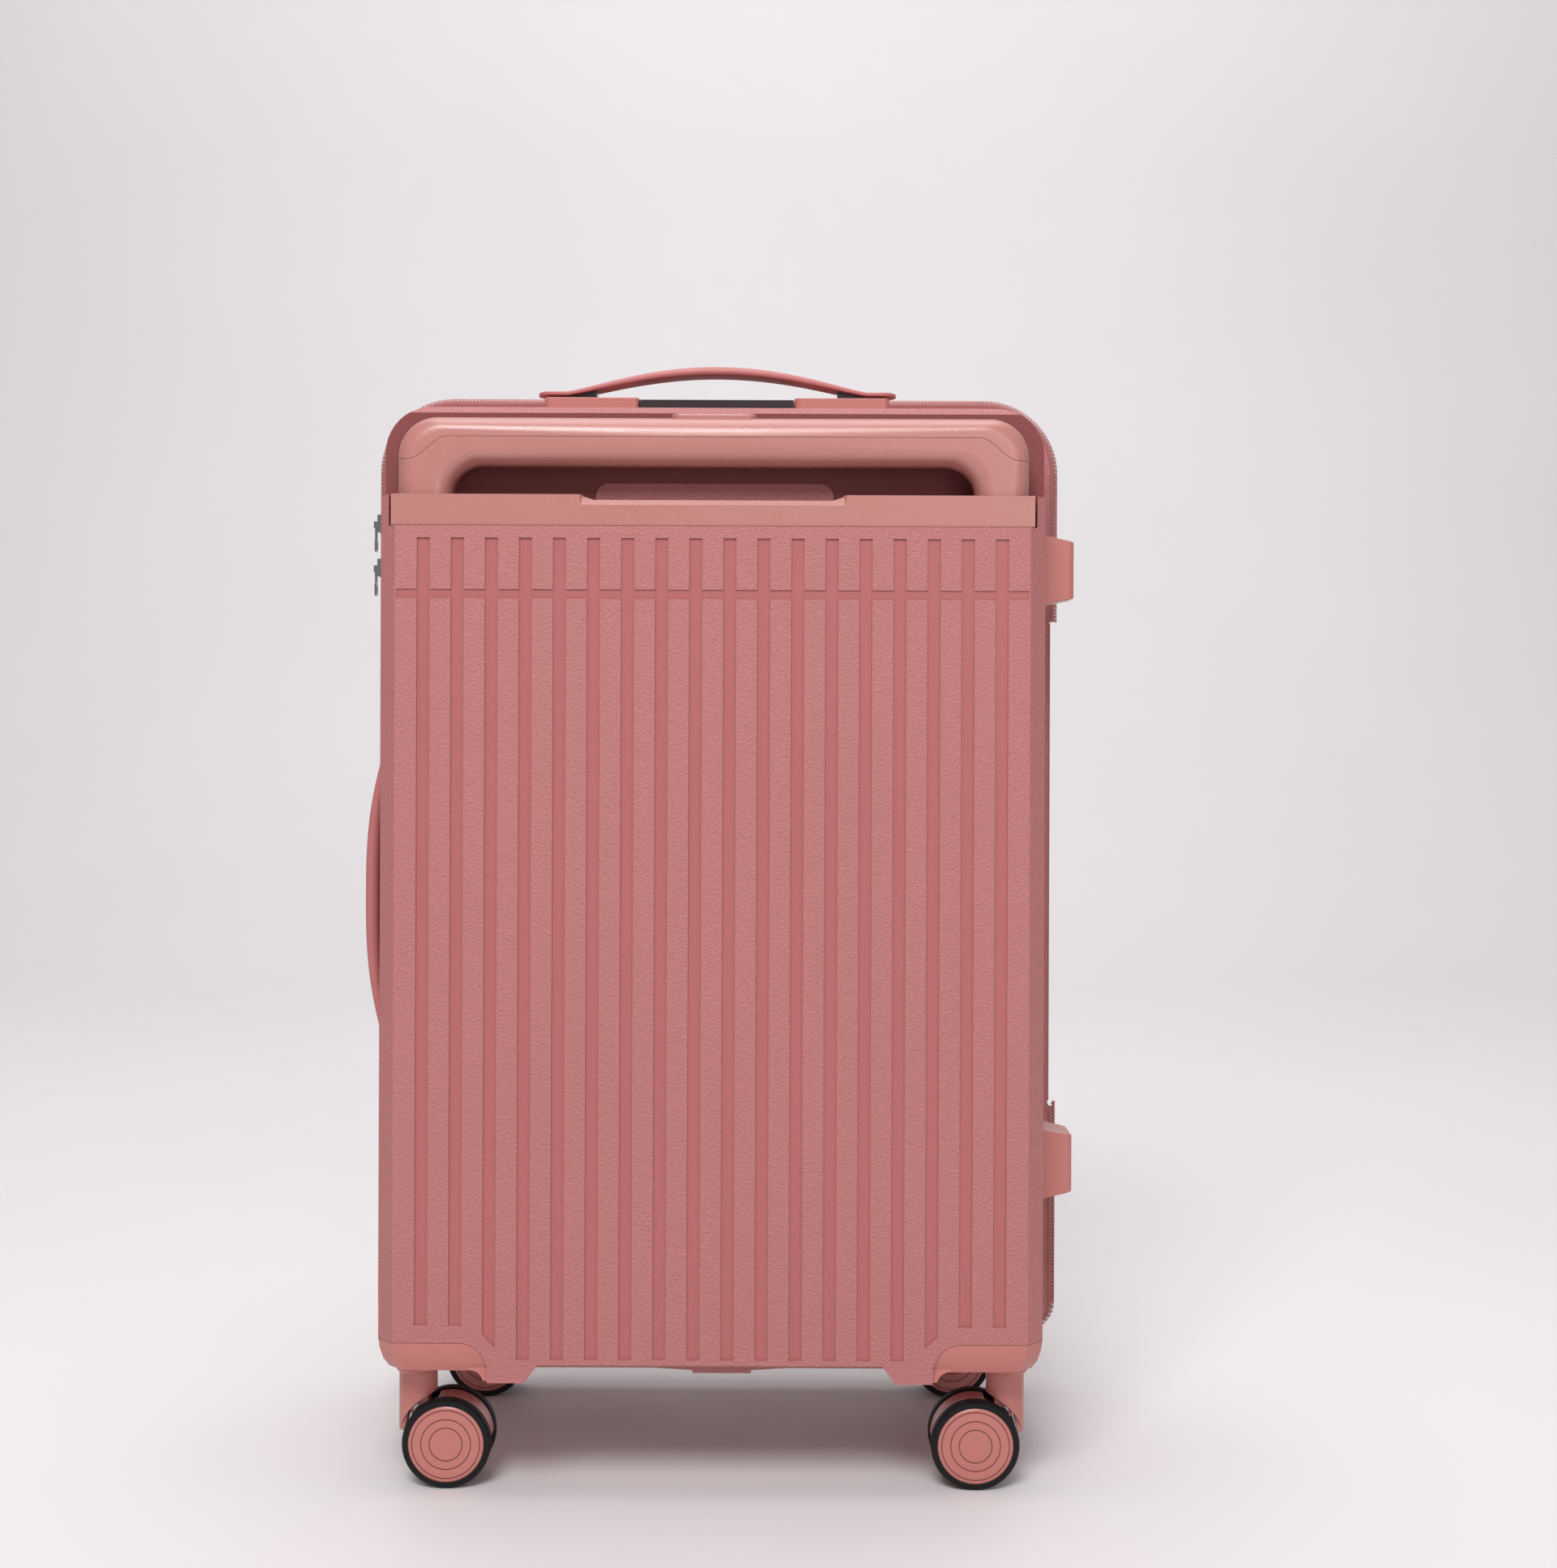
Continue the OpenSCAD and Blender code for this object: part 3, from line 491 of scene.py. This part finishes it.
def curtain(name, top, gap):
    """A solid on one side of the grip's parting line, for cutting it."""
    xs = [-CUT_HALF_W + 2 * CUT_HALF_W * i / CUT_STEPS for i in range(CUT_STEPS + 1)]
    line = [(x, part_z(x) + gap) for x in xs]
    level = CUT_HIGH if top else CUT_LOW
    bm = bmesh.new()
    sides = []
    for y in (grip_lo.y - CUT_PAST, grip_hi.y + CUT_PAST):
        sides.append([bm.verts.new((x, y, z)) for x, z in line + [(xs[-1], level), (xs[0], level)]])
    loft(bm, sides)
    bmesh.ops.recalc_face_normals(bm, faces=bm.faces)
    return loose(name, bm)


def boolean(obj, cutter, operation):
    step = obj.modifiers.new("cut", "BOOLEAN")
    step.operation, step.object, step.solver = operation, cutter, "EXACT"
    bpy.context.view_layer.update()
    evaluated = obj.evaluated_get(bpy.context.evaluated_depsgraph_get())
    mesh = bpy.data.meshes.new_from_object(evaluated)
    obj.modifiers.remove(step)
    obj.data = mesh
    bpy.data.objects.remove(cutter)


def grip_piece(name, node, top):
    obj = add(name, grip_bmesh(), "grip", "satin_pink")
    boolean(obj, curtain(name + "_cut", top, PART_GAP if top else -PART_GAP), "INTERSECT")
    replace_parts(obj, node)
    return obj


def pill_cutter(grow):
    lo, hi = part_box("release_button")
    cx, cy = (lo.x + hi.x) / 2, (lo.y + hi.y) / 2
    hw, hd = (hi.x - lo.x) / 2 + grow, (hi.y - lo.y) / 2 + grow
    bm = bmesh.new()
    outline = [(cx + x, cy + y) for x, y in arc(hw - hd, 0, hd, -90, 90, 16) + arc(-(hw - hd), 0, hd, 90, 270, 16)]
    loft(bm, [[bm.verts.new((x, y, hi.z + side * PILL_REACH)) for x, y in outline] for side in (-1, 1)])
    bmesh.ops.recalc_face_normals(bm, faces=bm.faces)
    return loose("pill", bm)


lower = grip_piece("grip_frame", "grip_body", False)
upper = grip_piece("grip_top_cover", "grip_cap", True)
boolean(upper, pill_cutter(PILL_GAP), "DIFFERENCE")
for obj in (lower, upper):
    shade_smooth(obj)
    soften(obj, 0.35 * MM, 2, math.radians(40))


# ---------------------------------------------------------------- carry handles
def strap(node, point, length, half_w, end_t, mid_t, rise, power, falloff, crown, stations=72):
    """A moulded carry handle: flat rounded ends, and an arch with a crowned section."""
    arch = 105 * MM
    bm = bmesh.new()
    rings = []
    for i in range(stations + 1):
        along = -length + 2 * length * i / stations
        lift = max(0.0, 1 - (abs(along) / arch) ** power) ** falloff
        thick = end_t + (mid_t - end_t) * lift
        end = max(0.0, abs(along) - (length - 10 * MM)) / (10 * MM)
        width = half_w - 10 * MM * (1 - math.sqrt(max(0.0, 1 - end * end)))
        round_r = min(thick * (0.34 + crown * lift), thick * 0.499)
        ring = []
        for cx, cy, start in ((width - round_r, -round_r, 0), (-width + round_r, -round_r, 90),
                              (-width + round_r, -thick + round_r, 180), (width - round_r, -thick + round_r, 270)):
            for t in range(7):
                turn = math.radians(start + 15 * t)
                a, h = cx + round_r * math.cos(turn), cy + round_r * math.sin(turn)
                sag = crown * lift * thick * 0.5 * (a / half_w) ** 2 if h > -thick / 2 else 0
                ring.append(bm.verts.new(point(along, a, rise * lift + h - sag)))
        rings.append(ring)
    loft(bm, rings)
    bmesh.ops.recalc_face_normals(bm, faces=bm.faces)
    obj = add(node + "_moulded", bm, body_of(node), slot_of(node))
    obj.data.set_sharp_from_angle(angle=math.radians(60))
    return obj


def box_solid(name, lo, hi, body, slot):
    bm = bmesh.new()
    bmesh.ops.create_cube(bm, size=1)
    for v in bm.verts:
        v.co = Vector([(a + b) / 2 + c * (b - a) for a, b, c in zip(lo, hi, v.co)])
    return add(name, bm, body, slot)


TOP_D, SIDE_D, SIDE_Z = 50 * MM, 55 * MM, 397 * MM
strap_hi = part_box("top_handle")[1]
top_strap = strap("top_handle", lambda a, w, h: Vector((a, w - TOP_D, strap_hi.z - 18 * MM + h)),
                  126 * MM, 12 * MM, 2.6 * MM, 6.2 * MM, 18 * MM, 2, 1.25, 0.12)
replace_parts(top_strap, "top_handle")
side_lo, side_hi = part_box("side_handle")
side_x = side_lo.x + 13.6 * MM
side_strap = strap("side_handle", lambda a, w, h: Vector((side_x - h, w - SIDE_D, SIDE_Z + a)),
                   126 * MM, 12 * MM, 2.6 * MM, 9.5 * MM, 13.6 * MM, 2.8, 1.3, 0.16)
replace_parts(side_strap, "side_handle")
for sign in (-1, 1):
    post_z = SIDE_Z + sign * 113 * MM
    post = box_solid("side_handle_post_" + ("lower" if sign < 0 else "upper"),
                     (side_x - 0.8 * MM, -SIDE_D - 7 * MM, post_z - 5 * MM),
                     (side_hi.x, -SIDE_D + 7 * MM, post_z + 5 * MM), body_of("side_handle"), slot_of("side_handle"))
    soften(post, 0.6 * MM, 2)


# ---------------------------------------------------------------- zip
RIM_HALF_W, RIM_TOP, RIM_LOW, TOP_R, LOW_R = 240 * MM, 747 * MM, 81 * MM, 47 * MM, 16 * MM
HINGE_LOW, HINGE_HIGH = 243 * MM, 593 * MM
TOOTH_PITCH = 2.6 * MM


def rim_path(step):
    """Points on the rim with their outward directions, from above the hinge tape round to below it."""
    w, r, q = RIM_HALF_W, TOP_R, LOW_R
    corners = [(w - r, RIM_TOP - r, r, 0), (-w + r, RIM_TOP - r, r, 90), (-w + q, RIM_LOW + q, q, 180),
               (w - q, RIM_LOW + q, q, 270)]
    pieces = []
    at = (w, HINGE_HIGH)
    for cx, cz, radius, start in corners:
        t = math.radians(start)
        pieces.append(("line", at, (cx + radius * math.cos(t), cz + radius * math.sin(t)), t))
        pieces.append(("arc", (cx, cz), radius, t))
        t += math.pi / 2
        at = (cx + radius * math.cos(t), cz + radius * math.sin(t))
    pieces.append(("line", at, (w, HINGE_LOW), 0.0))
    path, carry = [], 0.0
    for kind, a, b, t in pieces:
        long = (Vector(b) - Vector(a)).length if kind == "line" else b * math.pi / 2
        at = carry
        while at < long:
            if kind == "line":
                x, z = Vector(a).lerp(Vector(b), at / long)
                path.append((x, z, math.cos(t), math.sin(t)))
            else:
                turn = t + at / b
                path.append((a[0] + b * math.cos(turn), a[1] + b * math.sin(turn), math.cos(turn), math.sin(turn)))
            at += step
        carry = at - long
    return path


def cross_ring(bm, station, section, sign, side=0.0):
    """A section in millimetres, as (outward, depth) pairs, set across the rim and moved along it by side."""
    x, z, cx, cz = station
    return [bm.verts.new((x + out * MM * cx - side * cz, sign * depth * MM, z + out * MM * cz + side * cx))
            for out, depth in section]


def zip_tape(name, node, sign):
    """One half's tape, folded over the piping and running up to the coil."""
    section = [(0.1, 8.8), (1.6, 9.0), (2.7, 8.6), (3.0, 7.6), (2.5, 6.6), (2.5, 4.4), (3.1, 3.4), (4.3, 2.6),
               (4.6, 1.6), (4.6, 0.3), (0.1, 0.3)]
    bm = bmesh.new()
    rings = [cross_ring(bm, station, section, sign) for station in rim_path(6 * MM)]
    loft(bm, rings)
    bmesh.ops.recalc_face_normals(bm, faces=bm.faces)
    obj = add(name, bm, body_of(node), "zip_tape")
    obj.data.set_sharp_from_angle(angle=math.radians(50))
    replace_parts(obj, node)


def zip_teeth(name, node, sign, start):
    """One half's teeth, which stand between the other half's."""
    section = [(4.4, 2.5), (6.0, 2.4), (6.8, 1.6), (6.8, -0.2), (6.2, -0.9), (4.8, -0.9)]
    half = 0.5 * MM
    bm = bmesh.new()
    for x, z, cx, cz in rim_path(TOOTH_PITCH / 2)[start::2]:
        loft(bm, [cross_ring(bm, (x, z, cx, cz), section, sign, side) for side in (-half, half)])
    bmesh.ops.recalc_face_normals(bm, faces=bm.faces)
    obj = add(name, bm, body_of(node), "zip_tape", mat["coil_nylon"])
    obj.data.set_sharp_from_angle(angle=math.radians(50))


def stitches(name, node, sign):
    """Thread that holds the tape to the rim, as a row of short raised stitches."""
    bm = bmesh.new()
    for x, z, cx, cz in rim_path(4 * MM):
        rings = []
        for side, high in ((-1.3 * MM, 2.5), (0, 2.95), (1.3 * MM, 2.5)):
            section = ((high - 0.4, 5.3), (high, 5.5), (high - 0.4, 5.7))
            rings.append(cross_ring(bm, (x, z, cx, cz), section, sign, side))
        loft(bm, rings)
    bmesh.ops.recalc_face_normals(bm, faces=bm.faces)
    add(name, bm, body_of(node), "zip_tape", mat["handle_pink"])


for half, sign, start in (("back", -1, 0), ("front", 1, 1)):
    zip_tape("zip_tape_" + half, "zip_" + half, sign)
    zip_teeth("zip_teeth_" + half, "zip_" + half, sign, start)
    stitches("zip_stitches_" + half, "zip_" + half, sign)


def hinge_strip():
    """The webbing strip that joins the halves on the hinge side."""
    low, high, half = HINGE_LOW + 2 * MM, HINGE_HIGH - 2 * MM, 9 * MM
    rows, columns = 90, 24
    bm = bmesh.new()
    grid = []
    for i in range(rows + 1):
        z = low + (high - low) * i / rows
        grid.append([])
        for k in range(columns + 1):
            y = -half + 2 * half * k / columns
            x = RIM_HALF_W + 0.45 * MM + 1.1 * MM * (1 - (y / half) ** 2)
            grid[-1].append(bm.verts.new((x, y, z)))
    cloth(bm, grid)
    obj = add("hinge_webbing", bm, None, "zip_tape")
    thicken(obj, 0.7 * MM)
    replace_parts(obj, "hinge_tape")
    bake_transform(obj)


hinge_strip()


# ---------------------------------------------------------------- linings and packing straps
def cavity_mesh(node):
    """The closed space inside a lining: its inner faces, with the mouth and any hole filled."""
    source = frame["nodes"][node].data
    bm = bmesh.new()
    bm.from_mesh(source)
    bmesh.ops.remove_doubles(bm, verts=bm.verts, dist=2e-6)
    bm.normal_update()
    middle = Vector((0, 0, 0.4))
    mouth = 2.4 * MM
    lock_lo, lock_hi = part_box("lock_body")

    def beside_lock(face):
        return all(lock_lo.y - MM < v.co.y < lock_hi.y + MM and lock_lo.z - MM < v.co.z < lock_hi.z + MM
                   and v.co.x < lock_hi.x for v in face.verts)

    outer = [f for f in bm.faces if f.normal.dot(middle - f.calc_center_median()) <= 0 or beside_lock(f)
             or (abs(f.normal.y) > FACING and abs(f.calc_center_median().y) < mouth)]
    bmesh.ops.delete(bm, geom=outer, context="FACES")
    edges = [e for e in bm.edges if e.is_boundary]
    bmesh.ops.holes_fill(bm, edges=edges, sides=0)
    bmesh.ops.triangulate(bm, faces=bm.faces)
    bmesh.ops.recalc_face_normals(bm, faces=bm.faces)
    return bm


def apply_modifiers(obj):
    bpy.context.view_layer.update()
    mesh = bpy.data.meshes.new_from_object(obj.evaluated_get(bpy.context.evaluated_depsgraph_get()))
    obj.modifiers.clear()
    obj.data = mesh


def lining(node, sign):
    """Fabric glued into one half: soft corners, slack between them, and small folds all over it."""
    # The fabric cuts the corners at the wheel housings and the lock, and this board of its colour shows there instead
    add(node + "_backing", clean_bmesh(node), body_of(node), slot_of(node), mat["lining_fabric"])
    obj = add(node + "_fabric", cavity_mesh(node), body_of(node), slot_of(node))
    remesh = obj.modifiers.new("even", "REMESH")
    remesh.mode, remesh.voxel_size = "VOXEL", 6 * MM
    apply_modifiers(obj)
    lock_lo, lock_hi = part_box("lock_body")
    bm = bmesh.new()
    bm.from_mesh(obj.data)
    for _ in range(4):
        bmesh.ops.smooth_vert(bm, verts=bm.verts, factor=0.5, use_axis_x=True, use_axis_y=True, use_axis_z=True)
    bm.normal_update()
    shifts = []
    for v in bm.verts:
        p = v.co
        slack = noise.noise(Vector((p.x * 9, p.y * 9 + 31, p.z * 7)))
        folds = noise.noise(Vector((p.x * 38, p.y * 38, p.z * 13 + 7 * sign)))
        inward = (1.9 + 1.5 * slack + 0.55 * folds) * MM
        shifts.append(v.normal * -inward)
    for v, shift in zip(bm.verts, shifts):
        v.co += shift
        if sign > 0:
            away = [max(lo - c, c - hi, 0) for c, lo, hi in zip(v.co, lock_lo, lock_hi)]
            near = max(0.0, 1 - math.hypot(away[1], away[2]) / (22 * MM))
            if near > 0 and v.co.x < -0.19:
                v.co.x += near * near * (3 - 2 * near) * 8 * MM
    cut = [f for f in bm.faces if abs(f.calc_center_median().y) < 6 * MM]
    bmesh.ops.delete(bm, geom=cut, context="FACES")
    rim = [v for v in bm.verts if v.is_boundary]
    for v in rim:
        v.co.y = sign * 3 * MM
    bm.to_mesh(obj.data)
    bm.free()
    shade_smooth(obj)
    obj.data.materials.clear()
    obj.data.materials.append(mat["lining_fabric"])
    thicken(obj, 0.6 * MM)
    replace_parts(obj, node)
    return obj


lining("back_lining", -1)
lining("front_lining", 1)


def webbing(name, lean, raised):
    """One packing strap, sewn down at its ends and held up by the buckle in the middle."""
    long, half_w, rows, columns = 226 * MM, 12.5 * MM, 96, 10
    turn = math.radians(lean)
    bm = bmesh.new()
    grid = []
    for i in range(rows + 1):
        a = -long + 2 * long * i / rows
        t = 1 - abs(a) / long
        lift = min(1.0, t * 7) ** 0.7 * 1.6 * MM + raised * min(1.0, t * 3) ** 2 + 1.2 * MM * math.sin(a * 46) * t
        grid.append([])
        for k in range(columns + 1):
            w = -half_w + 2 * half_w * k / columns
            edge = 0.18 * MM * math.cos(w / half_w * math.pi / 2)
            grid[-1].append(bm.verts.new((a * math.sin(turn) + w * math.cos(turn), -97.2 * MM + lift + edge,
                                          420 * MM + a * math.cos(turn) - w * math.sin(turn))))
    cloth(bm, grid)
    obj = add(name, bm, "case_back", "strap_webbing")
    thicken(obj, 1.1 * MM)
    return obj


def buckle():
    """Press buckle over the crossing: a rounded plate with a raised button and a lower upright ridge through it."""
    centre = Vector((0, -92.6 * MM, 420 * MM))
    bm = bmesh.new()
    for half_x, half_z, low, high, radius in ((21, 21, -1.2, 1.0, 6), (13, 9, 0.9, 2.4, 4), (5, 15, 0.9, 1.9, 2)):
        rings = []
        for depth, inset in ((low, 0.0), (high - 0.6, 0.0), (high, 0.8)):
            ring = []
            for cx, cz, start in ((1, 1, 0), (-1, 1, 90), (-1, -1, 180), (1, -1, 270)):
                for step in range(7):
                    t = math.radians(start + 15 * step)
                    x = cx * (half_x - radius) + (radius - inset) * math.cos(t)
                    z = cz * (half_z - radius) + (radius - inset) * math.sin(t)
                    ring.append(bm.verts.new(centre + Vector((x, depth, z)) * MM))
            rings.append(ring)
        loft(bm, rings)
    bmesh.ops.recalc_face_normals(bm, faces=bm.faces)
    obj = add("strap_buckle", bm, "case_back", "strap_webbing", mat["dark_plastic"])
    obj.data.set_sharp_from_angle(angle=math.radians(35))


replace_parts(webbing("packing_strap_left", -38, 0.0), "packing_straps")
webbing("packing_strap_right", 38, 1.6 * MM)
buckle()


# ---------------------------------------------------------------- stage, lights, camera
def stage_sheet():
    """A pale floor that curves up into a backdrop, far behind the case."""
    floor_x, front, bend_y, bend_r, top = 14.0, -12.0, 2.6, 2.2, 9.0
    profile = [(front, 0.0), (bend_y, 0.0)]
    profile += [(bend_y + bend_r * math.sin(t), bend_r - bend_r * math.cos(t))
                for t in [math.pi / 2 * i / 24 for i in range(1, 25)]]
    profile.append((bend_y + bend_r, top))
    bm = bmesh.new()
    rows = [[bm.verts.new((x, y, z)) for x in (-floor_x, floor_x)] for y, z in profile]
    for a, b in zip(rows, rows[1:]):
        bm.faces.new((a[0], a[1], b[1], b[0]))
    obj = loose("floor", bm)
    shade_smooth(obj)
    s = Shader("studio_floor")
    s.set(Specular_IOR_Level=0.2)
    base = s.mix(s.spread(s.noise(1.1, 4), 0, 1), (0.74, 0.715, 0.722), (0.72, 0.695, 0.702))
    gloss = s.spread(s.noise(9, 4), 0.55, 0.7)
    obj.data.materials.append(s.wire(base, gloss, s.bump(s.noise(60, 4), 0.0002, 0.25)))


def area_light(name, place, aim, width, height, power, colour=(1, 1, 1)):
    data = bpy.data.lights.new(name, "AREA")
    data.shape, data.size, data.size_y, data.energy, data.color = "RECTANGLE", width, height, power, colour
    obj = bpy.data.objects.new(name, data)
    obj.location = place
    obj.rotation_euler = (Vector(aim) - Vector(place)).to_track_quat("-Z", "Y").to_euler()
    bpy.context.scene.collection.objects.link(obj)


def studio():
    scene = bpy.context.scene
    scene.view_settings.view_transform = "Standard"
    world = bpy.data.worlds.new("studio")
    world.use_nodes = True
    sky = world.node_tree.nodes["Background"]
    sky.inputs["Color"].default_value = (0.90, 0.90, 0.92, 1)
    sky.inputs["Strength"].default_value = 0.40
    scene.world = world
    middle = (0, 0, 0.4)
    area_light("key", (-0.5, -2.7, 2.9), middle, 1.3, 1.3, 82)
    area_light("fill", (1.2, -3.2, 1.4), middle, 1.6, 1.6, 16)
    area_light("top", (0, 0.1, 3.2), middle, 2.0, 2.0, 34)
    area_light("wall", (0, 2.0, 4.2), (0, 4.8, 1.4), 5.0, 1.5, 98)
    area_light("near", (0, -2.7, 2.6), (0, -1.3, 0), 1.2, 0.8, 14)


def camera():
    """A long lens, held level a little above the case's middle and looking at the trolley face."""
    data = bpy.data.cameras.new("camera")
    data.sensor_width, data.lens = 36.0, 49.64
    data.clip_start, data.clip_end = 0.05, 60
    obj = bpy.data.objects.new("camera", data)
    data.shift_y = -0.0378
    pitch, roll = math.radians(90), math.radians(0.22)
    obj.matrix_world = (Matrix.Translation((0.044, -1.579, 0.517))
                        @ Matrix.Rotation(pitch, 4, "X") @ Matrix.Rotation(roll, 4, "Z"))
    bpy.context.scene.collection.objects.link(obj)
    bpy.context.scene.camera = obj


stage_sheet()
studio()
camera()
